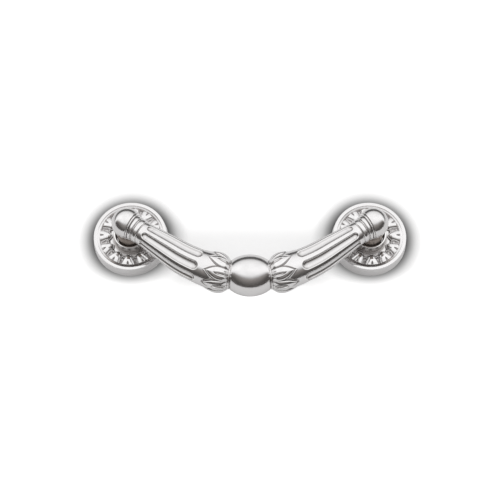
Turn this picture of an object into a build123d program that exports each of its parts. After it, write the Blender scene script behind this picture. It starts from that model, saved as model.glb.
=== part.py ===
from build123d import *
import math
import os

# Drop pull for a drawer front: a fluted bail that swings between two round leaf rosettes.
# The backs of the rosettes lie on the plane Y = 0, the front faces -Y and +Z is up.
# The origin is midway between the two screw holes. Lengths are millimetres, angles degrees.

# Fixing to the drawer front
hole_spacing = 96.0
thread_radius = 1.65
thread_depth = 9.0

# Rosette, in heights above the drawer front
foot_radius = 15.1
foot_band = 0.8
face_radius = 14.65
rosette_height = 5.6
edge_round = 0.5
rim_flat = 1.45
rim_step = 0.25
rim_bevel = 0.9
channel_depth = 2.3
plate_thickness = 2.0
boss_radius = 6.35
boss_wall = 0.65
lip_height = 8.0

# Leaves and darts in the channel of the rosette
petal_count = 12
petal_turn = 3.0
petal_tip = 7.6
petal_shoulder = 10.4
petal_half_width = 2.6
petal_height = 1.9
petal_dome_radius = 3.4
petal_crown = 10.6
petal_arch_lead = 0.35
petal_arch_width = 0.72
cleft_start = 10.2
cleft_radius = 0.45
dart_place = 8.6
dart_radius = 0.65
dart_top_radius = 0.2
dart_height = 1.3

# Post
post_radius = 5.0
spigot_radius = 3.5
spigot_recess = 0.05
spigot_clearance = 0.05
lug_thickness = 3.5
lug_half_width = 2.4

# Pivot of the bail in its posts
pivot_height = 18.1
post_top_gap = 5.4
pin_radius = 1.0
pin_running_clearance = 0.05
pin_hold = 3.0
pin_hole_spare = 0.3
slot_side_clearance = 0.2
swing_clearance = 0.3

# Ball and turned rings at each end of the bail, as distances along the bail from the ball's centre
ball_radius = 6.0
ball_length = 1.5
groove_radius = 4.5
ring_fillet = 0.15
bead_rings = ((1.7, 2.4, 5.25, 5.45), (2.55, 4.3, 4.8, 5.1), (4.45, 4.85, 4.65, 4.8), (5.0, 7.0, 4.55, 4.9))
shoulder_start = 7.3
shoulder_radius = 4.7

# Sweep of the bail: straight at the ends, one arc between them
bail_drop = 21.9
arm_slope = 34.0

# Fluted arms: distance along the bail, radius over the ribs and depth of the flutes
flute_depth = 0.85
arm_stations = (
    (shoulder_start, shoulder_radius, 0), (9.2, 4.78, flute_depth * 0.35),
    (10.6, 4.9, flute_depth), (16.9, 5.6, flute_depth), (22.5, 6.15, flute_depth),
    (32.0, 6.62, flute_depth), (33.3, 6.66, flute_depth * 0.4), (34.3, 6.7, 0))
flute_count = 8
flute_share = 0.7
points_per_flute = 8

# Leaf collars beside the bead, measured from the bead towards the arm
collar_start = 34.3
collar_start_radius = 6.8
collar_start_rise = 0.05
collar_neck = 7.6
collar_length = 8.8
collar_swell = 4.2
neck_radius = 5.5
collar_radius = 7.0
leaf_count = 8
leaf_foot_radius = 5.9
leaf_crown_radius = 7.6
leaf_tip_radius = 7.1
leaf_half_width = 2.65
leaf_widest = 3.7
leaf_foot_share = 0.3
leaf_tip_share = 0.54
leaf_arch_width = 0.72
leaf_top_spare = 0.5
hollow_start = 1.4
hollow_length = 5.2
hollow_half_width = 0.95
hollow_depth = 0.6

# Plain bead at the middle
bead_radius = 8.1

# How far pieces of one casting run into each other before they are joined
overlap = 1.0

half_spacing = hole_spacing / 2
channel_floor = rosette_height - channel_depth
edge_corner = edge_round / 3
boss_bore = boss_radius - boss_wall
post_top = pivot_height - post_top_gap
dish_radius = ball_radius + swing_clearance
slot_half_width = lug_thickness / 2 + slot_side_clearance
slot_reach = lug_half_width + swing_clearance
slope = math.radians(arm_slope)
sweep_radius = (half_spacing * math.tan(slope) - bail_drop) / (
    math.sin(slope) * math.tan(slope) - 1 + math.cos(slope))
straight_length = (half_spacing - sweep_radius * math.sin(slope)) / math.cos(slope)
half_length = straight_length + sweep_radius * slope


def wall_plane(side):
    """Plane on the drawer front at one screw hole: its Z points out of the drawer, its Y up."""
    return Plane(origin=(side * half_spacing, 0, 0), x_dir=(1, 0, 0), z_dir=(0, -1, 0))


def turned(points):
    """Solid of revolution about Z from points of radius and height."""
    return revolve(Plane.XZ * make_face(Polyline(*points, close=True)), Axis.Z)


def rosette_body():
    """Turned rosette: flared foot, stepped rim, sunk channel and a tube round the post."""
    rim_inner = face_radius - rim_flat
    channel_outer = rim_inner - rim_bevel
    return turned([
        (spigot_radius + spigot_clearance, 0),
        (foot_radius, 0),
        (foot_radius, foot_band),
        (face_radius, rosette_height - edge_round),
        (face_radius - edge_corner, rosette_height - edge_corner),
        (face_radius - edge_round, rosette_height),
        (rim_inner, rosette_height),
        (rim_inner, rosette_height - rim_step),
        (channel_outer, channel_floor + rim_step),
        (channel_outer, channel_floor),
        (boss_radius, channel_floor),
        (boss_radius, lip_height),
        (boss_bore, lip_height),
        (boss_bore, plate_thickness),
        (spigot_radius + spigot_clearance, plate_thickness)])


def petal():
    """One domed leaf of the rosette: its tip points at the post and a cleft opens its broad end."""
    channel_outer = face_radius - rim_flat - rim_bevel
    outline = Polyline(
        (channel_outer, -petal_half_width),
        (petal_shoulder, -petal_half_width)) + Polyline(
        (petal_shoulder, petal_half_width),
        (channel_outer, petal_half_width),
        (channel_outer, -petal_half_width))
    arch_x = (petal_tip + petal_shoulder) / 2 - petal_arch_lead
    arch_y = petal_half_width * petal_arch_width
    outline += ThreePointArc((petal_shoulder, -petal_half_width), (arch_x, -arch_y), (petal_tip, 0))
    outline += ThreePointArc((petal_tip, 0), (arch_x, arch_y), (petal_shoulder, petal_half_width))
    base = channel_floor - rim_step
    prism = Pos(0, 0, base) * extrude(make_face(outline), petal_height + rim_step)
    dome = Pos(petal_crown, 0, channel_floor + petal_height - petal_dome_radius) * Sphere(
        petal_dome_radius)
    cleft = Pos(cleft_start, 0, channel_floor + petal_height) * Rot(0, 90, 0) * Cylinder(
        cleft_radius, channel_outer - cleft_start, align=(Align.CENTER, Align.CENTER, Align.MIN))
    return prism & dome - cleft


def dart():
    """Small raised point between two leaves of the rosette."""
    return Pos(dart_place, 0, channel_floor - rim_step) * Cone(
        dart_radius, dart_top_radius, dart_height + rim_step,
        align=(Align.CENTER, Align.CENTER, Align.MIN))


def rosette(side):
    """Rosette with its ring of leaves, seated on the drawer front at one screw hole."""
    pitch = 360 / petal_count
    start = -90 + side * petal_turn
    one_petal = petal()
    one_dart = dart()
    leaves = [Rot(0, 0, start + pitch * n) * one_petal for n in range(petal_count)]
    darts = [Rot(0, 0, start + pitch * (n + 0.5)) * one_dart for n in range(petal_count)]
    return wall_plane(side) * rosette_body().fuse(*leaves, *darts)


def post(side):
    """Post with a screw spigot at its back and a flat lug for the pivot pin at its front."""
    shaft = turned([
        (0, spigot_recess),
        (spigot_radius, spigot_recess),
        (spigot_radius, plate_thickness),
        (post_radius, plate_thickness),
        (post_radius, post_top),
        (0, post_top)])
    shaft -= Pos(0, 0, pivot_height) * Sphere(dish_radius)
    shaft += Pos(0, 0, post_top - overlap) * Box(
        lug_thickness, 2 * lug_half_width, post_top_gap + overlap,
        align=(Align.CENTER, Align.CENTER, Align.MIN))
    across = Pos(0, 0, pivot_height) * Rot(0, 90, 0)
    shaft += across * Cylinder(lug_half_width, lug_thickness)
    shaft -= across * Cylinder(pin_radius + pin_running_clearance, 2 * lug_thickness)
    shaft -= Pos(0, 0, spigot_recess) * Cylinder(
        thread_radius, thread_depth, align=(Align.CENTER, Align.CENTER, Align.MIN))
    return wall_plane(side) * shaft


def bail_plane(distance):
    """Plane across the right half of the bail, at a distance along it from the ball's centre.

    Its Z points along the bail towards the bead and its X towards the front.
    """
    bend = slope * min(1, (half_length - distance) / (sweep_radius * slope))
    if distance < straight_length:
        x = half_spacing - distance * math.cos(slope)
        z = -distance * math.sin(slope)
    else:
        x = sweep_radius * math.sin(bend)
        z = sweep_radius * (1 - math.cos(bend)) - bail_drop
    direction = (-math.cos(bend), 0, -math.sin(bend))
    return Plane(origin=(x, -pivot_height, z), x_dir=(0, -1, 0), z_dir=direction)


def distance_at(x):
    """Distance along the bail from the ball's centre to the point that lies x from the middle."""
    return half_length - sweep_radius * math.asin(x / sweep_radius)


def bail_head():
    """Ball and turned rings at one end of the bail."""
    ball_edge = math.sqrt(ball_radius ** 2 - ball_length ** 2)
    outline = ThreePointArc((0, -ball_radius), (ball_radius, 0), (ball_edge, ball_length))
    last = (ball_edge, ball_length)
    for start, end, side_radius, crown in bead_rings:
        middle = (start + end) / 2
        dip = min(last[0], side_radius) - ring_fillet
        outline += Polyline(
            last, (dip, last[1]), (dip, start), (side_radius, start), (crown, (start + middle) / 2),
            (crown, (middle + end) / 2), (side_radius, end))
        last = (side_radius, end)
    outline += Polyline(
        last, (groove_radius, last[1]), (groove_radius, shoulder_start + overlap),
        (0, shoulder_start + overlap), (0, -ball_radius))
    return bail_plane(0) * revolve(Plane.XZ * make_face(outline), Axis.Z)


def fluted_section(distance, radius, depth):
    """Cross-section of the arm: a circle with round channels sunk into it to a depth."""
    count = flute_count * points_per_flute
    points = []
    for n in range(count):
        across = (n % points_per_flute) / points_per_flute - 0.5
        inside = abs(across) < flute_share / 2
        sink = depth * math.cos(math.pi * across / flute_share) ** 2 if inside else 0
        angle = 2 * math.pi * n / count
        points.append(((radius - sink) * math.cos(angle), (radius - sink) * math.sin(angle)))
    return bail_plane(distance) * make_face(Spline(*points, periodic=True))


def fluted_arm():
    """Swelling arm from its shoulder into the leaf collar, with round-ended flutes all round."""
    return loft([fluted_section(*station) for station in arm_stations])


def collar_core():
    """Plain swelling core under the leaves, which runs on into the bead."""
    swell = distance_at(collar_neck + collar_swell)
    return loft([bail_plane(d) * Circle(r) for d, r in (
        (collar_start, collar_start_radius),
        ((collar_start + swell) / 2, collar_radius - collar_start_rise),
        (swell, collar_radius),
        (distance_at(collar_neck), neck_radius),
        (distance_at(collar_neck / 2), neck_radius))])


def collar_plane():
    """Plane at the foot of the leaf collar: its Z points from the bead along the arm."""
    foot = bail_plane(distance_at(collar_neck))
    middle = bail_plane(distance_at(collar_neck) - collar_length / 2)
    return Plane(origin=foot.origin, x_dir=foot.x_dir, z_dir=-middle.z_dir)


def collar_shell(inset):
    """Swelling solid that bounds the tops of the collar's leaves, less an inset."""
    top = collar_length + leaf_top_spare
    outline = Polyline((0, 0), (leaf_foot_radius - inset, 0)) + ThreePointArc(
        (leaf_foot_radius - inset, 0),
        (leaf_crown_radius - inset, collar_swell),
        (leaf_tip_radius - inset, top)) + Polyline((leaf_tip_radius - inset, top), (0, top), (0, 0))
    return revolve(Plane.XZ * make_face(outline), Axis.Z)


def pointed_prism(start, length, widest, half_width):
    """Radial prism with the outline of a leaf: round at its foot and pointed away from the bead."""
    outline = ThreePointArc((0, start), (half_width * leaf_arch_width, start + widest * leaf_foot_share),
                            (half_width, start + widest))
    outline += ThreePointArc((half_width, start + widest),
                             (half_width * leaf_arch_width, start + (widest + length) * leaf_tip_share),
                             (0, start + length))
    face = make_face(outline + mirror(outline, about=Plane.YZ))
    return extrude(Plane(origin=(0, 0, 0), x_dir=(0, 1, 0), z_dir=(1, 0, 0)) * face,
                   2 * leaf_crown_radius)


def collar_leaves():
    """Ring of raised leaves, and the ring of cutters for their hollows."""
    blade = pointed_prism(0, collar_length, leaf_widest, leaf_half_width) & collar_shell(0)
    hollow = pointed_prism(hollow_start, hollow_length, hollow_length / 2, hollow_half_width)
    hollow -= collar_shell(hollow_depth)
    angles = [360 / leaf_count * (n + 0.5) for n in range(leaf_count)]
    blades = [collar_plane() * Rot(0, 0, a) * blade for a in angles]
    hollows = [collar_plane() * Rot(0, 0, a) * hollow for a in angles]
    return blades, hollows


def bead_half():
    """Right half of the plain bead at the middle of the bail."""
    neck = collar_neck
    stretch = neck / math.sqrt(1 - (neck_radius / bead_radius) ** 2)
    whole = scale(Sphere(1), (stretch, bead_radius, bead_radius))
    keep = Box(neck, 2 * bead_radius, 2 * bead_radius, align=(Align.MIN, Align.CENTER, Align.CENTER))
    return Pos(0, -pivot_height, -bail_drop) * (whole & keep)


def lug_slot():
    """Slot in the back and top of the ball, which clears the lug over the whole swing."""
    far = 2 * ball_radius
    reach = slot_reach
    outline = make_face(Polyline(
        (far, -reach), (0, -reach), (0, 0), (-reach, 0), (-reach, far), (far, far), close=True))
    outline += Circle(reach)
    section = Plane(origin=(half_spacing, -pivot_height, 0), x_dir=(0, 1, 0), z_dir=(1, 0, 0))
    return extrude(section * outline, slot_half_width, both=True)


def pin_axis():
    """Frame at the right ball's centre: its Z points away from the middle."""
    return Plane(origin=(half_spacing, -pivot_height, 0), x_dir=(0, 1, 0), z_dir=(1, 0, 0))


def pin_hole():
    """Blind hole for the pivot pin, drilled from the outer side of the ball."""
    depth = slot_half_width + pin_hold + pin_hole_spare
    return pin_axis() * Pos(0, 0, -depth) * Cylinder(
        pin_radius, depth + 2 * ball_radius, align=(Align.CENTER, Align.CENTER, Align.MIN))


def pivot_pin(side):
    """Pivot pin, pressed into the ball and finished flush with its outer side."""
    depth = slot_half_width + pin_hold
    rod = Pos(0, 0, -depth) * Cylinder(
        pin_radius, depth + 2 * ball_radius, align=(Align.CENTER, Align.CENTER, Align.MIN))
    pin = pin_axis() * (rod & Sphere(ball_radius))
    return pin if side > 0 else mirror(pin, about=Plane.YZ)


def bail():
    """Whole bail: one casting from ball to ball, with its flutes, leaf collars and bead."""
    blades, hollows = collar_leaves()
    head = bail_head() - lug_slot() - pin_hole()
    collar = collar_core().fuse(*blades).cut(*hollows)
    half = collar.fuse(bead_half()).fuse(fluted_arm()).fuse(head)
    return half.fuse(mirror(half, about=Plane.YZ))


def write(name, shape):
    """Write one node's solid."""
    export_step(shape, os.path.join("parts", name + ".step"))


os.makedirs("parts", exist_ok=True)
for side, hand in ((-1, "left"), (1, "right")):
    write(hand + "_rosette", rosette(side))
    write(hand + "_post", post(side))
    write(hand + "_pivot_pin", pivot_pin(side))
write("bail", bail())
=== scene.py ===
import bpy
import math
import numpy as np
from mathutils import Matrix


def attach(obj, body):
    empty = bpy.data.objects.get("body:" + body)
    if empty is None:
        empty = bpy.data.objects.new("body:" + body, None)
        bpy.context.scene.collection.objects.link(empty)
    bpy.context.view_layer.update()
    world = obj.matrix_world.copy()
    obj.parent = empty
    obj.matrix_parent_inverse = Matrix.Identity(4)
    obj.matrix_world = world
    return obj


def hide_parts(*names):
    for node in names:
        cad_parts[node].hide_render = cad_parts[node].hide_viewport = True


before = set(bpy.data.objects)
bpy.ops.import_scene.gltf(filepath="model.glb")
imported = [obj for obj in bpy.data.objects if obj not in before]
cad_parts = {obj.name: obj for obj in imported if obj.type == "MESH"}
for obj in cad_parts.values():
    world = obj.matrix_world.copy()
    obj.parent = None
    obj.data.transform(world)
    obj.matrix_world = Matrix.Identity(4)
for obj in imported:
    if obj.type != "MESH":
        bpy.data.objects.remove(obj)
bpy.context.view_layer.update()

# Looks of the drop pull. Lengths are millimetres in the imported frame, and meshes are in metres.
# The wall is the plane Y = 0, the front faces -Y and +Z is up.
MILLIMETRE = 0.001

# Places taken from the construction. The bail's centre line leaves the pivot straight at SLOPE
# and turns level in one arc of radius SWEEP, BAIL_DROP below the pivots.
HALF_SPACING = 48.0
PIVOT_HEIGHT = 18.1
BAIL_DROP = 21.9
SLOPE = math.radians(34.0)
SWEEP = (HALF_SPACING * math.tan(SLOPE) - BAIL_DROP) / (
    math.sin(SLOPE) * math.tan(SLOPE) - 1 + math.cos(SLOPE))
STRAIGHT = (HALF_SPACING - SWEEP * math.sin(SLOPE)) / math.cos(SLOPE)
HALF_LENGTH = STRAIGHT + SWEEP * SLOPE
NECK_X = 7.6
NECK = HALF_LENGTH - SWEEP * math.asin(NECK_X / SWEEP)

BALL_RADIUS = 6.0
BEAD_RADIUS = 8.1
NECK_RADIUS = 5.5

# Counts: flutes round an arm, with as many collar leaves, and leaves round a rosette
FLUTES = 8
PETALS = 12
PETAL_TURN = math.radians(3.0)

# Flow: distances along the brushed direction count for this share of those across it
FLOW_SHARE = 0.05

# Relief: how many times a surface is blurred, and the height over it that counts as 1
RING_RELIEF = (30, 0.22)
FLUTE_RELIEF = (6, 0.08)
COLLAR_RELIEF = (36, 0.26)
PETAL_RELIEF = (24, 0.8)

# Ball and rings: distances along the bail from the pivot, and radii. Rows are (start, end,
# step), and a ring is its start, its end, the radius at its sides and that of its crown.
POLE_GAP = math.radians(1.2)
BALL_ROWS = 44
RINGS_START = 1.2
RING_ROWS = ((RINGS_START, 7.0, 0.06), (7.0, 7.26, 0.13))
BALL_END = 1.5
SEAT_END = 2.5
SEAT_RADIUS = 4.95
GROOVE_RADIUS = 4.5
RINGS = ((1.62, 2.42, 5.05, 5.5), (2.62, 4.3, 4.75, 5.13), (4.46, 4.86, 4.6, 4.82),
         (5.02, 6.98, 4.5, 4.93))
RING_LEAN = 0.65
LEAN_SPAN = (1.6, 6.4)
HEAD_COLUMNS = 320

# Arm: rows as for the rings, and its body as (distance along the bail, radius) before the flutes
# and leaves. A flute's half width is a share of that radius, and its depth a share of its half
# width. NECK_SINK lowers the arm's end.
ARM_ROWS = ((6.95, 7.25, 0.15), (7.25, 8.6, 0.12), (8.6, 11.2, 0.14), (11.2, 32.0, 0.42),
            (32.0, 36.4, 0.14), (36.4, 46.8, 0.092))
ARM_COLUMNS = 432
ARM_BODY = (
    (6.95, 4.35), (7.22, 4.4), (7.34, 4.62), (7.5, 4.7), (9.2, 4.78), (10.6, 4.9), (13.5, 5.24),
    (16.9, 5.6), (19.7, 5.9), (22.5, 6.15), (27.0, 6.42), (32.0, 6.64), (34.3, 6.76),
    (36.5, 6.9), (39.0, 6.95), (41.0, 6.92), (42.2, 6.76), (43.2, 6.5), (44.0, 6.18),
    (44.7, 5.83), (45.2, 5.6), (45.6, 5.42), (45.78, 5.26), (45.92, 5.46), (46.2, 5.48),
    (46.36, 5.2), (46.8, 4.6))
FLUTE_START = 9.1
FLUTE_END = 34.3
FLUTE_HALF_SHARE = 0.27
FLUTE_DEPTH_SHARE = 0.62
NECK_SINK = 0.55
SINK_SPAN = (37.5, 45.5)

# Collar leaf: half widths at a distance from its foot, which is at the neck, and heights over
# the arm's body. The spans are distances along the bail from the pivot, where the leaves fade in
# at their tips and out at the neck, and where the relief changes over to the collar's.
LEAF_HALF_WIDTH = ((0.0, 1.95), (0.5, 2.2), (1.3, 2.44), (2.3, 2.62), (3.4, 2.7), (4.4, 2.62),
                   (5.4, 2.32), (6.3, 1.86), (7.2, 1.24), (8.1, 0.52), (8.7, 0.0), (9.9, -0.75))
LEAF_EDGE = 0.28
LEAF_SWELL = 0.6
LEAF_ROUNDING = 1.6
LEAF_TIP_SPAN = (35.5, 36.5)
LEAF_NECK_SPAN = (45.66, 45.8)
COLLAR_RELIEF_SPAN = (34.8, 36.2)
HOLLOW_MIDDLE = 2.7
HOLLOW_HALF_LENGTH = 3.0
HOLLOW_HALF_WIDTH = 0.66
HOLLOW_DEPTH = 0.5
HOLLOW_RIM = 0.12
GROOVE_DEPTH = 0.34
LIP_HEIGHT = 0.13

# Bead: it reaches into both necks, and is shaded beside them
BEAD_COLUMNS = 256
BEAD_ROWS = 97
BEAD_OVERLAP = 0.25
BEAD_SHADE_SPAN = (7.3, 7.75)
BEAD_SHADE = 0.8

# Slot for the lug, which runs out past the ball, the hole round the pivot pin, and the bend from
# which an edge stays sharp
SLOT_REACH = 2.7
SLOT_HALF_WIDTH = 1.95
SLOT_FAR = 14.0
PIN_HOLE = 1.04
PIN_DEPTH = 5.3
SHARP_EDGE = math.radians(50)

# Rosette's section: radii from the post's axis and heights over the wall
SPIGOT_HOLE = 3.55
PLATE_THICKNESS = 2.0
FOOT_RADIUS = 15.1
FOOT_BAND = 0.8
FACE_RADIUS = 14.62
FACE_HEIGHT = 5.6
RIM_STEPS = ((13.3, FACE_HEIGHT), (13.22, 5.42), (13.06, 5.4), (12.22, 5.02))
CHANNEL_RADIUS = 12.1
CHANNEL_TOP = 4.8
CHANNEL_FLOOR = 3.3
TUBE_RADIUS = 6.34
TUBE_HEIGHT = 7.98
TUBE_LIP_BORE = 5.72
TUBE_BORE = 5.7
ROSETTE_COLUMNS = 576

# Rosette leaf: half widths of its arched border and of its body, and the body's rise over the
# channel's floor, at a distance from the post's axis. A small bead lies between two tips.
BORDER_HALF_WIDTH = ((7.0, -0.7), (7.3, 0.0), (7.6, 0.7), (8.0, 1.34), (8.5, 1.78), (9.3, 2.16),
                     (10.2, 2.4), (11.0, 2.55), (12.6, 2.6))
BODY_HALF_WIDTH = ((7.4, -1.4), (7.75, 0.0), (7.9, 0.7), (8.25, 1.24), (8.8, 1.7), (9.6, 2.16),
                   (10.6, 2.58), (11.6, 2.88), (12.6, 3.15))
BODY_RISE = ((7.75, 1.3), (8.2, 1.7), (8.9, 1.98), (10.0, 2.15), (11.2, 2.0), (12.1, 1.7),
             (12.6, 1.5))
BORDER_HEIGHT = 0.9
CLEFT_DEPTH = 0.9
TIP_BEAD_PLACE = 8.9
TIP_BEAD_RADIUS = 0.55
TIP_BEAD_HEIGHT = 1.35


def steps(*spans):
    """Row places: each span (start, end, step) is divided evenly, and spans join end to start."""
    parts = [np.linspace(a, b, max(2, int(round(abs(b - a) / d))), endpoint=False)
             for a, b, d in spans]
    return np.concatenate(parts + [[spans[-1][1]]])


def smoothstep(x, low, high):
    """0 below low, 1 above high, and 3t^2 - 2t^3 between them."""
    t = np.clip((x - low) / (high - low), 0, 1)
    return t * t * (3 - 2 * t)


def blurred(grid, times, wrap_rows):
    """Running 1-2-1 average over rows and columns, whose columns always run round."""
    for _ in range(times):
        grid = (np.roll(grid, 1, 1) + 2 * grid + np.roll(grid, -1, 1)) / 4
        if wrap_rows:
            grid = (np.roll(grid, 1, 0) + 2 * grid + np.roll(grid, -1, 0)) / 4
        else:
            padded = np.concatenate([grid[:1], grid, grid[-1:]])
            grid = (padded[:-2] + 2 * padded[1:-1] + padded[2:]) / 4
    return grid


def relief_over(height, times, full, wrap_rows=False):
    """Height over its own blurred self, where a difference of full counts as 1."""
    return (height - blurred(height, times, wrap_rows)) / full


def closed_surface(name, grid, relief, flow, wrap_rows):
    """Closed mesh through grid[row, column]: columns run round, rows run round or end in a pole.

    The hollows of relief become the attribute cavity, for painted shade, and its crests the
    attribute edge, for a painted highlight. flow holds the distance across the direction in which
    the piece was brushed, and FLOW_SHARE of the distance along it.
    """
    rows, columns = grid.shape[:2]
    index = np.arange(rows * columns).reshape(rows, columns)
    here, after = (index, np.roll(index, -1, 0)) if wrap_rows else (index[:-1], index[1:])
    quads = np.stack([here, after, np.roll(after, -1, 1), np.roll(here, -1, 1)], -1).reshape(-1, 4)
    points = grid.reshape(-1, 3)
    relief = relief.reshape(-1)
    flow = flow.reshape(-1, 3)
    corners = quads.reshape(-1)
    starts = np.arange(0, 4 * len(quads), 4)
    if not wrap_rows:
        poles = np.array([grid[0].mean(0), grid[-1].mean(0)])
        first, last = len(points), len(points) + 1
        ring, end = index[0], index[-1]
        fan_a = np.stack([np.full(columns, first), ring, np.roll(ring, -1)], -1)
        fan_b = np.stack([np.full(columns, last), np.roll(end, -1), end], -1)
        starts = np.concatenate([starts, len(corners) + np.arange(0, 6 * columns, 3)])
        corners = np.concatenate([corners, fan_a.reshape(-1), fan_b.reshape(-1)])
        points = np.vstack([points, poles])
        relief = np.concatenate([relief, [0, 0]])
        flow = np.vstack([flow, flow[0], flow[-1]])
    # Six times the volume inside the quads, which is negative when the faces point inwards
    a, b, c, d = (points[quads[:, k]] for k in range(4))
    volume = np.einsum("ij,ij->i", a, np.cross(b, c)).sum() + np.einsum(
        "ij,ij->i", a, np.cross(c, d)).sum()
    mesh = bpy.data.meshes.new(name)
    mesh.vertices.add(len(points))
    mesh.vertices.foreach_set("co", (points * MILLIMETRE).astype(np.float32).ravel())
    mesh.loops.add(len(corners))
    mesh.loops.foreach_set("vertex_index", corners.astype(np.int32))
    mesh.polygons.add(len(starts))
    mesh.polygons.foreach_set("loop_start", starts.astype(np.int32))
    mesh.update(calc_edges=True)
    if volume < 0:
        mesh.flip_normals()
    # cavity carries painted shade into the colour, and edge a painted highlight
    for label, values in (("cavity", np.clip(-relief, 0, 1)), ("edge", np.clip(relief, 0, 1))):
        mesh.attributes.new(label, "FLOAT", "POINT").data.foreach_set(
            "value", values.astype(np.float32))
    mesh.attributes.new("flow", "FLOAT_VECTOR", "POINT").data.foreach_set(
        "vector", (flow * MILLIMETRE).astype(np.float32).ravel())
    mesh.shade_smooth()
    piece = bpy.data.objects.new(name, mesh)
    bpy.context.scene.collection.objects.link(piece)
    return piece


# The bail

def centreline(s):
    """Centre (x, z) of the right half at distances s, and the direction (x, z) up across it.

    Straight to STRAIGHT at the arm's slope, then one arc: x = R sin b and z = R (1 - cos b) - drop.
    The arm's end sinks by NECK_SINK, so that the neck is level with the bead.
    """
    bend = np.where(s < STRAIGHT, SLOPE, (HALF_LENGTH - s) / SWEEP)
    x = np.where(s < STRAIGHT, HALF_SPACING - s * math.cos(SLOPE), SWEEP * np.sin(bend))
    z = np.where(s < STRAIGHT, -s * math.sin(SLOPE), SWEEP * (1 - np.cos(bend)) - BAIL_DROP)
    z = z - NECK_SINK * smoothstep(s, *SINK_SPAN)
    return x, z, -np.sin(bend), np.cos(bend)


def swept(s, angle, radius, side):
    """Points at distance s, angle (0 at the front, 90 degrees up) and radius round the bail."""
    x, z, up_x, up_z = (v[:, None] for v in centreline(s))
    up = radius * np.sin(angle)
    return np.stack([side * (x + up_x * up), -PIVOT_HEIGHT - radius * np.cos(angle),
                     z + up_z * up], -1)


def ring_profile(s):
    """Radius of the turned rings: each ring is side + (crown - side) (1 - |t|^2.6)^0.5."""
    radius = np.where(s < SEAT_END, SEAT_RADIUS, GROOVE_RADIUS)
    for start, end, low, crown in RINGS:
        t = (2 * s - start - end) / (end - start)
        bump = low + (crown - low) * np.sqrt(np.clip(1 - np.abs(t) ** 2.6, 0, 1))
        radius = np.where(np.abs(t) <= 1, bump, radius)
    return radius


def head(name, side):
    """Ball and rings: r(s) is a sphere up to BALL_END and the rings' profile after it.

    The rings lean: they start 2 RING_LEAN further along at the bottom than at the top, and the
    lean fades out towards the arm.
    """
    turn = np.linspace(POLE_GAP, math.acos(-RINGS_START / BALL_RADIUS), BALL_ROWS, endpoint=False)
    s = np.concatenate([-BALL_RADIUS * np.cos(turn), steps(*RING_ROWS)])
    angle = np.linspace(0, 2 * math.pi, HEAD_COLUMNS, endpoint=False)[None]
    along = s[:, None] + 0 * angle
    lean = RING_LEAN * (1 - np.sin(angle)) * (1 - smoothstep(along, *LEAN_SPAN))
    ball = np.sqrt(np.clip(BALL_RADIUS ** 2 - along ** 2, 0, None))
    radius = np.where(along - lean < BALL_END, ball, ring_profile(along - lean))
    on_rings = along > RINGS_START
    radius = np.where(on_rings, blurred(radius, 2, False), radius)
    # The rings' relief gives painted shade in their grooves and a painted highlight on their crowns
    relief = np.where(on_rings, relief_over(radius, *RING_RELIEF), 0)
    flow = np.stack([along, radius * FLOW_SHARE * angle, 0 * radius], -1)
    return closed_surface(name, swept(s, angle, radius, side), relief, flow, False)


def flute_depth(s, angle, over):
    """Depth of the flutes in the arm.

    t is the distance on the unrolled arm to a flute's centre line over the flute's half width,
    and the flute is hollow with steep sides: depth = D (1 - t^2.5)^0.6.
    """
    pitch = 2 * math.pi / FLUTES
    across = (np.mod(angle, pitch) - pitch / 2) * over
    half = FLUTE_HALF_SHARE * over
    beyond = np.maximum(FLUTE_START + half - s[:, None], s[:, None] - (FLUTE_END - half))
    distance = np.sqrt(across ** 2 + np.maximum(beyond, 0) ** 2)
    rounded = np.clip(1 - np.clip(distance / half, 0, 1) ** 2.5, 0, 1) ** 0.6
    return FLUTE_DEPTH_SHARE * half * rounded


def leaf_relief(s, angle, core):
    """Height of the leaf collar over its core.

    With e the distance inside a leaf's edge as a share of LEAF_ROUNDING, a leaf stands
    LEAF_EDGE + LEAF_SWELL (1 - (1 - e)^2)^0.5, less a parabola over its almond hollow. With t
    from -1 to 1 along the hollow, its half width is HOLLOW_HALF_WIDTH (1 - t^2)^0.8. Outside
    the edge a fine groove and a lip follow it.
    """
    a = (NECK - s)[:, None]
    pitch = 2 * math.pi / FLUTES
    across = np.abs((np.mod(angle, pitch) - pitch / 2) * (core + 0.4))
    width = np.interp(a, *zip(*LEAF_HALF_WIDTH))
    rate = np.gradient(width[:, 0], a[:, 0])[:, None]
    inside = (width - across) / np.sqrt(1 + rate ** 2)
    dome = np.sqrt(np.clip(1 - (1 - np.clip(inside / LEAF_ROUNDING, 0, 1)) ** 2, 0, 1))
    swell = smoothstep(a, -0.4, 2.2) * (1 - 0.45 * smoothstep(a, 5.0, 9.0))
    t = (a - HOLLOW_MIDDLE) / HOLLOW_HALF_LENGTH
    hollow = HOLLOW_HALF_WIDTH * np.clip(1 - t * t, 0, None) ** 0.8
    sunk = HOLLOW_DEPTH * np.clip(1 - (across / np.maximum(hollow, 0.05)) ** 2, 0, 1) * (
        hollow > 0.05) * smoothstep(hollow, 0, 0.35)
    rim = HOLLOW_RIM * np.exp(-((across - hollow - 0.14) / 0.16) ** 2) * smoothstep(
        hollow, 0.05, 0.4)
    leaf = (LEAF_EDGE + LEAF_SWELL * dome) * swell - sunk + rim
    body = smoothstep(inside, -0.04, 0.07)
    groove = GROOVE_DEPTH * np.exp(-((inside + 0.18) / 0.16) ** 2) * smoothstep(a, 0.2, 0.7) * (
        1 - smoothstep(a, 9.0, 9.5))
    near_tip = smoothstep(a, 3.4, 5.0) * (1 - smoothstep(a, 9.0, 9.9))
    lip = LIP_HEIGHT * np.exp(-((inside + 0.56) / 0.17) ** 2) * near_tip
    return body * leaf + (1 - body) * (lip - groove)


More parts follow.
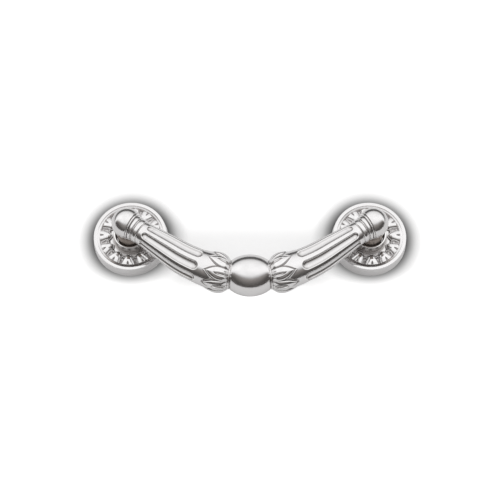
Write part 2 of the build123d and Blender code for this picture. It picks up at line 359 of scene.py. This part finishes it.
def arm(name, side):
    """Arm from its shoulder to the neck beside the bead, with flutes and a collar of leaves."""
    s = steps(*ARM_ROWS)
    angle = np.linspace(0, 2 * math.pi, ARM_COLUMNS, endpoint=False)[None]
    along = s[:, None] + 0 * angle
    over = np.interp(s, *zip(*ARM_BODY))[:, None] + 0 * angle
    radius = over - flute_depth(s, angle, over)
    radius = radius + leaf_relief(s, angle, over) * smoothstep(along, *LEAF_TIP_SPAN) * (
        1 - smoothstep(along, *LEAF_NECK_SPAN))
    radius = blurred(radius, 1, False)
    # The relief gives painted shade in flutes and leaf hollows and a painted highlight on crests
    leafy = smoothstep(along, *COLLAR_RELIEF_SPAN)
    relief = relief_over(radius, *COLLAR_RELIEF) * leafy + (
        relief_over(radius, *FLUTE_RELIEF) * (1 - leafy))
    flow = np.stack([radius * angle, along * FLOW_SHARE, 0 * radius], -1)
    return closed_surface(name, swept(s, angle, radius, side), relief, flow, False)


def bead(name):
    """Plain bead: r(x) = BEAD_RADIUS (1 - (x / stretch)^2)^0.5, cut off inside the two necks."""
    stretch = NECK_X / math.sqrt(1 - (NECK_RADIUS / BEAD_RADIUS) ** 2)
    end = NECK_X + BEAD_OVERLAP
    angle = np.linspace(0, 2 * math.pi, BEAD_COLUMNS, endpoint=False)[None]
    x = np.linspace(-end, end, BEAD_ROWS)[:, None] + 0 * angle
    radius = BEAD_RADIUS * np.sqrt(1 - (x / stretch) ** 2)
    grid = np.stack([x, -PIVOT_HEIGHT - radius * np.cos(angle),
                     radius * np.sin(angle) - BAIL_DROP], -1)
    relief = -BEAD_SHADE * smoothstep(np.abs(x), *BEAD_SHADE_SPAN)
    flow = np.stack([x, radius * FLOW_SHARE * angle, 0 * radius], -1)
    return closed_surface(name, grid, relief, flow, False)


def prism(name, outline, start, end, axis_y, axis_z, x):
    """Closed prism along X between start and end, with an outline in Y and Z round an axis."""
    count = len(outline)
    low = [(x + start, axis_y + p, axis_z + q) for p, q in outline]
    high = [(x + end, axis_y + p, axis_z + q) for p, q in outline]
    sides = [(n, (n + 1) % count, count + (n + 1) % count, count + n) for n in range(count)]
    mesh = bpy.data.meshes.new(name)
    mesh.from_pydata((np.array(low + high) * MILLIMETRE).tolist(), [],
                     sides + [tuple(range(count))[::-1], tuple(range(count, 2 * count))])
    mesh.update()
    cutter = bpy.data.objects.new(name, mesh)
    bpy.context.scene.collection.objects.link(cutter)
    return cutter


def cut_swing_slot(piece, side):
    """Slot for the lug at the back and top of a ball, and the hole round its pivot pin."""
    arc = [(SLOT_REACH * math.cos(t), SLOT_REACH * math.sin(t))
           for t in np.radians(np.linspace(270, 180, 19))]
    outline = [(SLOT_FAR, -SLOT_REACH)] + arc + [(-SLOT_REACH, SLOT_FAR), (SLOT_FAR, SLOT_FAR)]
    circle = [(PIN_HOLE * math.cos(t), PIN_HOLE * math.sin(t))
              for t in np.linspace(0, 2 * math.pi, 40, endpoint=False)]
    x = side * HALF_SPACING
    near, deep = sorted((-side * PIN_DEPTH, side * SLOT_FAR))
    cutters = [prism("slot_cutter", outline, -SLOT_HALF_WIDTH, SLOT_HALF_WIDTH, -PIVOT_HEIGHT, 0, x),
               prism("pin_cutter", circle, near, deep, -PIVOT_HEIGHT, 0, x)]
    for cutter in cutters:
        step = piece.modifiers.new(cutter.name, "BOOLEAN")
        step.object = cutter
        step.operation = "DIFFERENCE"
        step.solver = "EXACT"
        step.use_self = False
    bpy.context.view_layer.update()
    shaped = piece.evaluated_get(bpy.context.evaluated_depsgraph_get())
    mesh = bpy.data.meshes.new_from_object(shaped)
    piece.modifiers.clear()
    piece.data = mesh
    mesh.shade_smooth()
    mesh.set_sharp_from_angle(angle=SHARP_EDGE)
    for cutter in cutters:
        bpy.data.objects.remove(cutter)


# The rosettes

def turned_rows(corners, soften, coarse, sharp, fine):
    """Rows of a closed turned profile.

    The outline is walked in equal steps and averaged with a Gaussian, which rounds its corners.
    Rows are then picked at equal steps of the integral of 1/coarse + bend/sharp + fine(r, h):
    coarse is the row step on a flat stretch, sharp the turn in radians that a row may take, and
    fine gives the extra rows per millimetre.
    """
    pace = 0.01
    outline = np.array(corners + corners[:1], float)
    length = np.concatenate([[0], np.cumsum(np.hypot(*np.diff(outline, axis=0).T))])
    count = int(length[-1] / pace)
    walk = np.linspace(0, length[-1], count, endpoint=False)
    line = np.stack([np.interp(walk, length, outline[:, k]) for k in (0, 1)], 1)
    reach = int(4 * soften / pace)
    bell = np.exp(-0.5 * (np.arange(-reach, reach + 1) * pace / soften) ** 2)
    wide = np.pad(line, ((reach, reach), (0, 0)), mode="wrap")
    line = np.stack([np.convolve(wide[:, k], bell / bell.sum(), "valid") for k in (0, 1)], 1)
    ahead = np.roll(line, -1, 0) - line
    heading = np.arctan2(ahead[:, 1], ahead[:, 0])
    bend = np.abs((np.roll(heading, -1) - heading + math.pi) % (2 * math.pi) - math.pi)
    weight = pace / coarse + bend / sharp + pace * fine(line[:, 0], line[:, 1])
    measure = np.cumsum(weight)
    rows = int(measure[-1])
    pick = np.searchsorted(measure, (np.arange(rows) + 0.5) * measure[-1] / rows)
    return line[np.clip(pick, 0, count - 1)]


def petal_relief(r, phi):
    """Height of the ring of leaves over the channel's floor.

    u is the distance across a leaf. A domed body of half width w(r) is divided by a cleft from
    its outer end, and an arched border of half width b(r) stands round the body's tip. A small
    bead, half an ellipsoid, lies between the tips of two leaves.
    """
    pitch = 2 * math.pi / PETALS
    turn = np.mod(phi + pitch / 2, pitch) - pitch / 2
    u = np.abs(r * np.sin(turn))
    along = r * np.cos(turn)
    edge = (np.interp(along, *zip(*BORDER_HALF_WIDTH)) - u) * 0.85
    border = BORDER_HEIGHT * smoothstep(edge, -0.06, 0.12) * (
        1 - 0.7 * smoothstep(edge, 0.24, 0.4)) * (1 - smoothstep(along, 9.0, 9.9))
    width = np.interp(along, *zip(*BODY_HALF_WIDTH))
    inside = np.clip((width - u) / np.maximum(width, 0.3), 0, 1)
    dome = np.clip(1 - (1 - inside) ** 2.8, 0, 1) ** 0.55
    lobes = np.clip(1 - np.abs(1 - 2 * inside) ** 2.6, 0, 1) ** 0.5
    split = 0.12 * smoothstep(along, 10.4, 11.8)
    rise = np.interp(along, *zip(*BODY_RISE))
    body = (dome * (1 - split) + lobes * split) * rise * (width > 0)
    half_cleft = 0.1 + 0.24 * smoothstep(along, 10.8, 12.3)
    cleft = CLEFT_DEPTH * np.clip(1 - u / half_cleft, 0, 1) * smoothstep(along, 10.5, 11.3)
    petal = np.maximum(border, body) - cleft * (body > border)
    between = np.abs(np.mod(phi, pitch) - pitch / 2) * r
    spot = np.sqrt(between ** 2 + (r - TIP_BEAD_PLACE) ** 2) / TIP_BEAD_RADIUS
    tip_bead = TIP_BEAD_HEIGHT * np.sqrt(np.clip(1 - spot ** 2, 0, 1))
    return np.maximum(petal, tip_bead)


def rosette(name, side):
    """Turned rosette with leaves: rows of (r, h) run round the section, columns round the axis."""
    corners = [(SPIGOT_HOLE, 0), (FOOT_RADIUS, 0), (FOOT_RADIUS, FOOT_BAND),
               (FACE_RADIUS, FACE_HEIGHT), *RIM_STEPS, (CHANNEL_RADIUS, CHANNEL_TOP),
               (CHANNEL_RADIUS, CHANNEL_FLOOR), (TUBE_RADIUS, CHANNEL_FLOOR),
               (TUBE_RADIUS, TUBE_HEIGHT), (TUBE_LIP_BORE, TUBE_HEIGHT),
               (TUBE_BORE, PLATE_THICKNESS), (SPIGOT_HOLE, PLATE_THICKNESS)]

    def fine(r, h):
        """13 more rows per millimetre on the channel's floor, where the leaves stand."""
        on_floor = (np.abs(h - CHANNEL_FLOOR) < 0.3) & (r > 6.3) & (r < 12.5)
        return np.where(on_floor, 13.0, 0.0)

    rows = turned_rows(corners, soften=0.1, coarse=1.6, sharp=0.32, fine=fine)
    phi = np.linspace(0, 2 * math.pi, ROSETTE_COLUMNS, endpoint=False)[None]
    r, h = rows[:, :1], rows[:, 1:]
    start = -math.pi / 2 + side * PETAL_TURN
    # The leaves fade in beside the tube and stand on the channel's floor
    in_channel = smoothstep(r, 6.5, 6.9) * (h > 2.6) * (h < 5.0) * (r < 12.7)
    leaves = np.clip(petal_relief(r, phi - start) - (h - CHANNEL_FLOOR), 0, None)
    height = h + leaves * in_channel
    height = np.where(in_channel > 0, blurred(height, 1, True), height)
    # The leaves' relief gives painted shade in their hollows and a painted highlight on their crests
    relief = relief_over(height, *PETAL_RELIEF, wrap_rows=True) * (in_channel > 0)
    # The painted shade and highlight are weaker by the channel's wall and in the upper part
    by_wall = smoothstep(r, 11.4, 12.05)
    upper_part = smoothstep(np.sin(phi), 0.1, 0.8)
    relief = relief * (1 - 0.8 * by_wall) * (1 - 0.5 * upper_part)
    # The tube gets painted shade inside and round its foot, and a painted highlight on its lip
    in_tube = smoothstep(-r, -6.2, -5.6) * smoothstep(-h, -7.8, -5.0) * (h > 0.2)
    round_tube = smoothstep(-r, -7.9, -6.6) * (r > 6.2) * smoothstep(-h, -7.9, -6.6) * (h > 3.0)
    on_lip = (r < 6.5) * (h > 7.7)
    relief = relief - 0.45 * in_tube - 1.1 * round_tube + 0.8 * on_lip
    grid = np.stack([side * HALF_SPACING + r * np.cos(phi), -height, r * np.sin(phi)], -1)
    flow = np.stack([r + h + 0 * phi, FLOW_SHARE * r * phi, 0 * height], -1)
    return closed_surface(name, grid, relief, flow, True)


# Finish

# Patterns of the finish in waves per metre, and how deep its grain is
STREAK_SCALE = 5200
GRIT_SCALE = 9000
UNEVEN_SCALE = 160
MARK_SCALE = 700
GRAIN_DEPTH = 0.03

# Colours that the plate turns towards where it is uneven, and on crests as a painted highlight
WARM_NICKEL = (0.715, 0.703, 0.697, 1)
PAINTED_HIGHLIGHT_NICKEL = (0.91, 0.906, 0.9, 1)


def group(name, inputs, outputs):
    """Node group with named sockets, with its input node and its output node."""
    tree = bpy.data.node_groups.new(name, "ShaderNodeTree")
    for label, kind, value in inputs:
        socket = tree.interface.new_socket(label, in_out="INPUT", socket_type=kind)
        if value is not None:
            socket.default_value = value
    for label, kind in outputs:
        tree.interface.new_socket(label, in_out="OUTPUT", socket_type=kind)
    return tree, tree.nodes.new("NodeGroupInput"), tree.nodes.new("NodeGroupOutput")


def node(tree, kind, **settings):
    """New node with the given properties."""
    made = tree.nodes.new(kind)
    for label, value in settings.items():
        setattr(made, label, value)
    return made


def math_node(tree, operation, first, second=None, clamp=False):
    """Math node: each operand is a socket or a number."""
    made = node(tree, "ShaderNodeMath", operation=operation, use_clamp=clamp)
    for place, value in enumerate((first, second)):
        if isinstance(value, (int, float)):
            made.inputs[place].default_value = value
        elif value is not None:
            tree.links.new(value, made.inputs[place])
    return made.outputs[0]


def mix_colour(tree, factor, first, second, blend="MIX"):
    """Mix of two colours: each is a socket or a colour, and factor a socket or a number."""
    made = node(tree, "ShaderNodeMix", data_type="RGBA", blend_type=blend)
    for place, value in ((0, factor), (6, first), (7, second)):
        if isinstance(value, bpy.types.NodeSocket):
            tree.links.new(value, made.inputs[place])
        else:
            made.inputs[place].default_value = value
    return made.outputs[2]


def noise(tree, vector, scale, detail, rough):
    """Noise value over a vector: scale waves per unit, with finer layers of less strength."""
    made = node(tree, "ShaderNodeTexNoise")
    tree.links.new(vector, made.inputs["Vector"])
    made.inputs["Scale"].default_value = scale
    made.inputs["Detail"].default_value = detail
    made.inputs["Roughness"].default_value = rough
    return made.outputs["Fac"]


def satin_surface():
    """Fine satin grain: brushed streaks, a fine grit, slow unevenness and faint rub marks.

    The bump's height is 0.7 streak + 0.5 grit + 2.6 uneven. Marks are 5 times what a fourth
    noise has over 0.56, kept between 0 and 1.
    """
    tree, given, out = group(
        "satin_surface",
        (("Place", "NodeSocketVector", None), ("Flow", "NodeSocketVector", None),
         ("Grain", "NodeSocketFloat", 1.0)),
        (("Streak", "NodeSocketFloat"), ("Uneven", "NodeSocketFloat"),
         ("Marks", "NodeSocketFloat"), ("Normal", "NodeSocketVector")))
    place, flow = given.outputs["Place"], given.outputs["Flow"]
    streak = noise(tree, flow, STREAK_SCALE, 3, 0.6)
    grit = noise(tree, place, GRIT_SCALE, 2, 0.6)
    uneven = noise(tree, place, UNEVEN_SCALE, 4, 0.55)
    marks = math_node(tree, "SUBTRACT", noise(tree, place, MARK_SCALE, 5, 0.7), 0.56)
    marks = math_node(tree, "MULTIPLY", marks, 5.0, clamp=True)
    height = math_node(tree, "ADD", math_node(tree, "MULTIPLY", streak, 0.7),
                       math_node(tree, "MULTIPLY", grit, 0.5))
    height = math_node(tree, "ADD", height, math_node(tree, "MULTIPLY", uneven, 2.6))
    bump = node(tree, "ShaderNodeBump")
    bump.inputs["Distance"].default_value = GRAIN_DEPTH * MILLIMETRE
    tree.links.new(math_node(tree, "MULTIPLY", given.outputs["Grain"], 0.3), bump.inputs["Strength"])
    tree.links.new(height, bump.inputs["Height"])
    for label, value in (("Streak", streak), ("Uneven", uneven), ("Marks", marks),
                         ("Normal", bump.outputs["Normal"])):
        tree.links.new(value, out.inputs[label])
    return tree


def plate_colour():
    """Colour of the plate: darker and browner in hollows as painted shade, paler on crests as a
    painted highlight, uneven between.

    The plate turns to WARM_NICKEL by 0.5 uneven, then to the highlight nickel by 0.55 edge, then to
    the painted shade tint by 0.62 cavity + 0.04 marks: painted shade with faint random marks.
    """
    tree, given, out = group(
        "plate_colour",
        (("Plate", "NodeSocketColor", None), ("Painted shade tint", "NodeSocketColor", None),
         ("Cavity", "NodeSocketFloat", 0.0), ("Edge", "NodeSocketFloat", 0.0),
         ("Uneven", "NodeSocketFloat", 0.5), ("Marks", "NodeSocketFloat", 0.0)),
        (("Color", "NodeSocketColor"),))
    warm = mix_colour(tree, math_node(tree, "MULTIPLY", given.outputs["Uneven"], 0.5),
                      given.outputs["Plate"], WARM_NICKEL)
    # Crests turn paler as a painted highlight, and hollows darker and browner as painted shade
    highlighted = mix_colour(tree, math_node(tree, "MULTIPLY", given.outputs["Edge"], 0.55), warm,
                        PAINTED_HIGHLIGHT_NICKEL)
    shade_and_marks = math_node(tree, "ADD", math_node(tree, "MULTIPLY", given.outputs["Cavity"], 0.62),
                       math_node(tree, "MULTIPLY", given.outputs["Marks"], 0.04), clamp=True)
    tree.links.new(mix_colour(tree, shade_and_marks, highlighted, given.outputs["Painted shade tint"]),
                   out.inputs["Color"])
    return tree


def metal(name, plate, hollow, roughness, grain, surface, colour):
    """Satin metal: the groups give colour, roughness and grain, the shader is in the material.

    Roughness is the given one - 0.05 + 0.06 streak + 0.05 uneven + 0.14 cavity.
    """
    material = bpy.data.materials.new(name)
    material.use_nodes = True
    tree = material.node_tree
    shader = tree.nodes["Principled BSDF"]
    shader.inputs["Metallic"].default_value = 1.0
    coordinates = node(tree, "ShaderNodeTexCoord")
    finish = node(tree, "ShaderNodeGroup", node_tree=surface)
    finish.inputs["Grain"].default_value = grain
    tree.links.new(coordinates.outputs["Object"], finish.inputs["Place"])
    flow = node(tree, "ShaderNodeAttribute", attribute_name="flow")
    tree.links.new(flow.outputs["Vector"], finish.inputs["Flow"])
    paint = node(tree, "ShaderNodeGroup", node_tree=colour)
    paint.inputs["Plate"].default_value = plate
    paint.inputs["Painted shade tint"].default_value = hollow
    cavity = node(tree, "ShaderNodeAttribute", attribute_name="cavity").outputs["Fac"]
    edge = node(tree, "ShaderNodeAttribute", attribute_name="edge").outputs["Fac"]
    tree.links.new(cavity, paint.inputs["Cavity"])
    tree.links.new(edge, paint.inputs["Edge"])
    for label in ("Uneven", "Marks"):
        tree.links.new(finish.outputs[label], paint.inputs[label])
    tree.links.new(paint.outputs["Color"], shader.inputs["Base Color"])
    rough = math_node(tree, "ADD", roughness - 0.05,
                      math_node(tree, "MULTIPLY", finish.outputs["Streak"], 0.06))
    rough = math_node(tree, "ADD", rough, math_node(tree, "MULTIPLY", finish.outputs["Uneven"], 0.05))
    rough = math_node(tree, "ADD", rough, math_node(tree, "MULTIPLY", cavity, 0.14))
    tree.links.new(rough, shader.inputs["Roughness"])
    tree.links.new(finish.outputs["Normal"], shader.inputs["Normal"])
    return material


def painted(piece, material):
    """The piece wears one material."""
    piece.data.materials.clear()
    piece.data.materials.append(material)


surface_group = satin_surface()
colour_group = plate_colour()
# Each metal's hollow colour is the tint of its painted shade in hollows
nickel = metal("satin_nickel", plate=(0.765, 0.757, 0.76, 1), hollow=(0.17, 0.145, 0.13, 1),
               roughness=0.12, grain=1.6, surface=surface_group, colour=colour_group)
# The post is a darker, browner copy of the nickel: painted shade where it stands under the ball
shaded_post_metal = metal("post_nickel_painted_shade", plate=(0.4, 0.33, 0.28, 1), hollow=(0.15, 0.12, 0.1, 1),
                   roughness=0.55, grain=4.0, surface=surface_group, colour=colour_group)
pin_metal = metal("pin_steel", plate=(0.62, 0.61, 0.6, 1), hollow=(0.2, 0.18, 0.16, 1),
                  roughness=0.26, grain=1.0, surface=surface_group, colour=colour_group)

for side, hand in ((-1, "left"), (1, "right")):
    ball = head(hand + "_head", side)
    cut_swing_slot(ball, side)
    plate = rosette(hand + "_rosette_cast", side)
    fluted = arm(hand + "_arm", side)
    for piece, body, stands_for in ((ball, "swinging_bail", "bail"),
                                    (fluted, "swinging_bail", "bail"),
                                    (plate, "fixed_mounts", hand + "_rosette")):
        painted(piece, nickel)
        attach(piece, body)
        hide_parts(stands_for)
    painted(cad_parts[hand + "_post"], shaded_post_metal)
    painted(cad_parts[hand + "_pivot_pin"], pin_metal)
middle_bead = bead("middle_bead")
painted(middle_bead, nickel)
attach(middle_bead, "swinging_bail")
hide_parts("bail")


# Backdrop, surroundings and camera

# Wall: how far it reaches, its place behind the rosettes, the opening behind each of them, and a
# painted shadow round each rosette from its inner to its outer radius, with stops (share of the
# way, brightness). Its middle is outward of and above the post's axis; the squeeze widens it.
WALL_REACH = 1600.0
WALL_BACK = 0.06
WALL_OPENING = 14.9
WALL_COLOUR = (0.8, 0.8, 0.8, 1)
HALO_INNER = 14.8
HALO_OUTER = 23.5
HALO_OUTWARD = 0.25
HALO_RISE = 1.3
HALO_SQUEEZE = 0.98
PAINTED_SHADOW_STOPS = ((0.0, 0.085), (0.09, 0.175), (0.18, 0.265), (0.27, 0.38), (0.36, 0.505),
              (0.45, 0.615), (0.54, 0.7), (0.63, 0.77), (0.72, 0.84), (0.86, 0.95), (1.0, 1.0))

# Wall's fades, from nothing to full: the painted shade between the rosettes is bounded above,
# beside and below, a painted dark reflection darkens the wall high up in what the metal mirrors,
# and the glow, painted light, grows towards the bottom
BETWEEN_SHADE_TOP = (16.0, 0.0)
BETWEEN_SHADE_SIDE = (43.0, 24.0)
BETWEEN_SHADE_BOTTOM = (-30.0, -16.0)
BETWEEN_SHADE_DEPTH = 0.28
MIRRORED_DARK_SPAN = (60.0, 85.0)
MIRRORED_DARK_DEPTH = 0.84
LOW_SPAN = (-10.0, -28.0)
LOW_GLOW = 0.5
SEEN_GLOW = 0.5
BASE_GLOW = 0.1

# Surroundings: stops are (degrees up from the front, level, tint), and the ramp holds levels as
# shares of the strength
WARM = (1.0, 0.94, 0.9)
PALE = (1.0, 0.998, 0.998)
SKY_STRENGTH = 1.6
SKY_STOPS = ((-180, 0.1, WARM), (-80, 0.1, WARM), (-66, 0.17, WARM), (-52, 0.27, WARM),
             (-42, 0.37, WARM), (-35, 0.55, PALE), (-28, 0.86, PALE), (-18, 1.12, PALE),
             (5, 1.25, PALE), (40, 1.17, PALE), (58, 1.04, PALE), (70, 0.92, PALE),
             (78, 0.62, PALE), (85, 0.1, WARM), (120, 0.1, WARM), (180, 0.8, PALE))
SKY_WHITE = (0.64, 0.64, 0.64, 1)

# Camera: its distance from the origin, its angle below it, the angle at which it looks up, and
# its focal length
CAMERA_DISTANCE = 440.0
CAMERA_BELOW = math.radians(22.9)
CAMERA_AIM = math.radians(22.436)
CAMERA_LENS = 78.1


def faded(tree, value, start, end):
    """Value mapped smoothly from 0 at start to 1 at end."""
    made = node(tree, "ShaderNodeMapRange", interpolation_type="SMOOTHSTEP")
    made.inputs["From Min"].default_value = min(start, end)
    made.inputs["From Max"].default_value = max(start, end)
    made.inputs["To Min"].default_value = float(start > end)
    made.inputs["To Max"].default_value = float(start < end)
    tree.links.new(value, made.inputs["Value"])
    return made.outputs["Result"]


def colour_ramp(tree, value, stops, interpolation="LINEAR"):
    """Colour over a value: each stop is a place from 0 to 1 and a colour."""
    made = node(tree, "ShaderNodeValToRGB")
    made.color_ramp.interpolation = interpolation
    elements = made.color_ramp.elements
    while len(elements) < len(stops):
        elements.new(0.5)
    for element, (place, colour) in zip(elements, stops):
        element.position = place
        element.color = colour
    tree.links.new(value, made.inputs["Fac"])
    return made.outputs["Color"]


def faded_over(tree, value, span):
    """Value in metres mapped smoothly from 0 to 1 over a span in millimetres."""
    start, end = span
    return faded(tree, value, start * MILLIMETRE, end * MILLIMETRE)


def wall_distance(tree, x, z, outward, rise, squeeze):
    """Distance in the wall from a point outward of and above the nearest rosette's axis.

    It is (u^2 + v^2)^0.5, where u is the distance sideways times squeeze and v that upwards.
    """
    away = math_node(tree, "SUBTRACT", math_node(tree, "ABSOLUTE", x), HALF_SPACING * MILLIMETRE)
    across = math_node(tree, "MULTIPLY", math_node(tree, "SUBTRACT", away, outward * MILLIMETRE), squeeze)
    up = math_node(tree, "SUBTRACT", z, rise * MILLIMETRE)
    square = math_node(tree, "ADD", math_node(tree, "MULTIPLY", across, across),
                       math_node(tree, "MULTIPLY", up, up))
    return math_node(tree, "SQRT", square)


def wall_shade(tree, x, z, seen, mirrored):
    """Colour of the wall: painted shadow round the rosettes times painted shade between them, as the
    camera sees it, and a painted dark reflection high up in mirrors.
    """
    spread = node(tree, "ShaderNodeMapRange")
    spread.inputs["From Min"].default_value = HALO_INNER * MILLIMETRE
    spread.inputs["From Max"].default_value = HALO_OUTER * MILLIMETRE
    tree.links.new(wall_distance(tree, x, z, HALO_OUTWARD, HALO_RISE, HALO_SQUEEZE),
                   spread.inputs["Value"])
    # Painted shadow round each rosette, darkest at its foot and fading outwards
    stops = [(place, (level, level, level, 1)) for place, level in PAINTED_SHADOW_STOPS]
    painted_shadow = colour_ramp(tree, spread.outputs["Result"], stops, "B_SPLINE")
    # Painted shade over the wall between the rosettes, bounded above, beside and below
    between_shade = math_node(tree, "MULTIPLY", faded_over(tree, z, BETWEEN_SHADE_TOP),
                     faded_over(tree, math_node(tree, "ABSOLUTE", x), BETWEEN_SHADE_SIDE))
    between_shade = math_node(tree, "MULTIPLY", between_shade, faded_over(tree, z, BETWEEN_SHADE_BOTTOM))
    between_shade = math_node(tree, "SUBTRACT", 1.0, math_node(tree, "MULTIPLY", between_shade, BETWEEN_SHADE_DEPTH))
    # Painted dark reflection: high up, the wall is darker only in glossy rays
    mirrored_dark = math_node(tree, "MULTIPLY", faded_over(tree, z, MIRRORED_DARK_SPAN), mirrored)
    above = math_node(tree, "SUBTRACT", 1.0, math_node(tree, "MULTIPLY", mirrored_dark, MIRRORED_DARK_DEPTH))
    return mix_colour(tree, 1.0, mix_colour(tree, seen, (1, 1, 1, 1), painted_shadow),
                      mix_colour(tree, seen, above, between_shade), "MULTIPLY")


def drawer_wall():
    """White wall behind the pull, open behind the rosettes and clear from the back.

    It glows by BASE_GLOW, and as the camera sees it by SEEN_GLOW and, low down, LOW_GLOW more.
    """
    mesh = bpy.data.meshes.new("wall")
    reach, back = WALL_REACH * MILLIMETRE, WALL_BACK * MILLIMETRE
    mesh.from_pydata([(-reach, back, -reach), (reach, back, -reach), (reach, back, reach),
                      (-reach, back, reach)], [], [(0, 1, 2, 3)])
    wall = bpy.data.objects.new("wall", mesh)
    bpy.context.scene.collection.objects.link(wall)
    material = bpy.data.materials.new("white_wall")
    material.use_nodes = True
    tree = material.node_tree
    tree.nodes.clear()
    split = node(tree, "ShaderNodeSeparateXYZ")
    tree.links.new(node(tree, "ShaderNodeTexCoord").outputs["Object"], split.inputs[0])
    x, z = split.outputs[0], split.outputs[2]
    path = node(tree, "ShaderNodeLightPath")
    seen, mirrored = path.outputs["Is Camera Ray"], path.outputs["Is Glossy Ray"]
    shade = wall_shade(tree, x, z, seen, mirrored)
    diffuse = node(tree, "ShaderNodeBsdfDiffuse")
    tree.links.new(mix_colour(tree, 1.0, shade, WALL_COLOUR, "MULTIPLY"), diffuse.inputs["Color"])
    glow = node(tree, "ShaderNodeEmission")
    tree.links.new(shade, glow.inputs["Color"])
    # Painted light: low down the wall glows more for the camera, lifting the shade below the bail
    low = math_node(tree, "MULTIPLY", faded_over(tree, z, LOW_SPAN), LOW_GLOW)
    own = math_node(tree, "MULTIPLY", seen, math_node(tree, "ADD", low, SEEN_GLOW))
    tree.links.new(math_node(tree, "ADD", own, BASE_GLOW), glow.inputs["Strength"])
    lit = node(tree, "ShaderNodeAddShader")
    tree.links.new(diffuse.outputs[0], lit.inputs[0])
    tree.links.new(glow.outputs[0], lit.inputs[1])
    from_axis = wall_distance(tree, x, z, 0.0, 0.0, 1.0)
    opening = math_node(tree, "LESS_THAN", from_axis, WALL_OPENING * MILLIMETRE)
    clear = math_node(tree, "MAXIMUM", opening,
                      node(tree, "ShaderNodeNewGeometry").outputs["Backfacing"])
    whole = node(tree, "ShaderNodeMixShader")
    tree.links.new(clear, whole.inputs[0])
    tree.links.new(lit.outputs[0], whole.inputs[1])
    tree.links.new(node(tree, "ShaderNodeBsdfTransparent").outputs[0], whole.inputs[2])
    tree.links.new(whole.outputs[0], node(tree, "ShaderNodeOutputMaterial").inputs["Surface"])
    painted(wall, material)


def studio():
    """Surroundings by direction: the angle up from the front sets how bright and warm they are.

    The angle is taken lower towards both sides by 0.6 x^2 + 0.8 x^8 radians, which fades out
    from 0.7 to 1.3 radians up. The brightness is uneven, by 0.85 + 0.3 of a slow noise.
    """
    world = bpy.data.worlds.new("studio")
    bpy.context.scene.world = world
    world.use_nodes = True
    tree = world.node_tree
    background = tree.nodes["Background"]
    split = node(tree, "ShaderNodeSeparateXYZ")
    direction = node(tree, "ShaderNodeTexCoord").outputs["Generated"]
    tree.links.new(direction, split.inputs[0])
    rise = math_node(tree, "ARCTAN2", split.outputs[2],
                     math_node(tree, "MULTIPLY", split.outputs[1], -1.0))
    aside = math_node(tree, "MULTIPLY", split.outputs[0], split.outputs[0])
    lift = math_node(tree, "ADD", math_node(tree, "MULTIPLY", aside, 0.6),
                     math_node(tree, "MULTIPLY", math_node(tree, "POWER", aside, 4.0), 0.8))
    lift = math_node(tree, "MULTIPLY", lift, faded(tree, rise, 1.3, 0.7))
    rise = math_node(tree, "SUBTRACT", rise, lift)
    turn = math_node(tree, "ADD", math_node(tree, "MULTIPLY", rise, 0.5 / math.pi), 0.5)
    stops = [(degrees / 360 + 0.5, tuple(level / SKY_STRENGTH * part for part in tint) + (1,))
             for degrees, level, tint in SKY_STOPS]
    sky = colour_ramp(tree, turn, stops)
    cloudy = noise(tree, direction, 2.4, 2, 0.5)
    level = math_node(tree, "ADD", math_node(tree, "MULTIPLY", cloudy, 0.3), 0.85)
    uneven = mix_colour(tree, 1.0, sky, level, "MULTIPLY")
    seen = node(tree, "ShaderNodeLightPath").outputs["Is Camera Ray"]
    tree.links.new(mix_colour(tree, seen, uneven, SKY_WHITE), background.inputs["Color"])
    background.inputs["Strength"].default_value = SKY_STRENGTH


def camera():
    """Camera below the pull, which looks up at it and slightly under the origin."""
    data = bpy.data.cameras.new("camera")
    data.lens = CAMERA_LENS
    data.sensor_width = 36.0
    data.clip_start = 0.01
    eye = bpy.data.objects.new("camera", data)
    away = CAMERA_DISTANCE * MILLIMETRE
    eye.location = (0, -away * math.cos(CAMERA_BELOW), -away * math.sin(CAMERA_BELOW))
    eye.rotation_euler = (math.pi / 2 + CAMERA_AIM, 0, 0)
    bpy.context.scene.collection.objects.link(eye)
    bpy.context.scene.camera = eye


drawer_wall()
studio()
camera()
bpy.context.scene.view_settings.view_transform = "Standard"
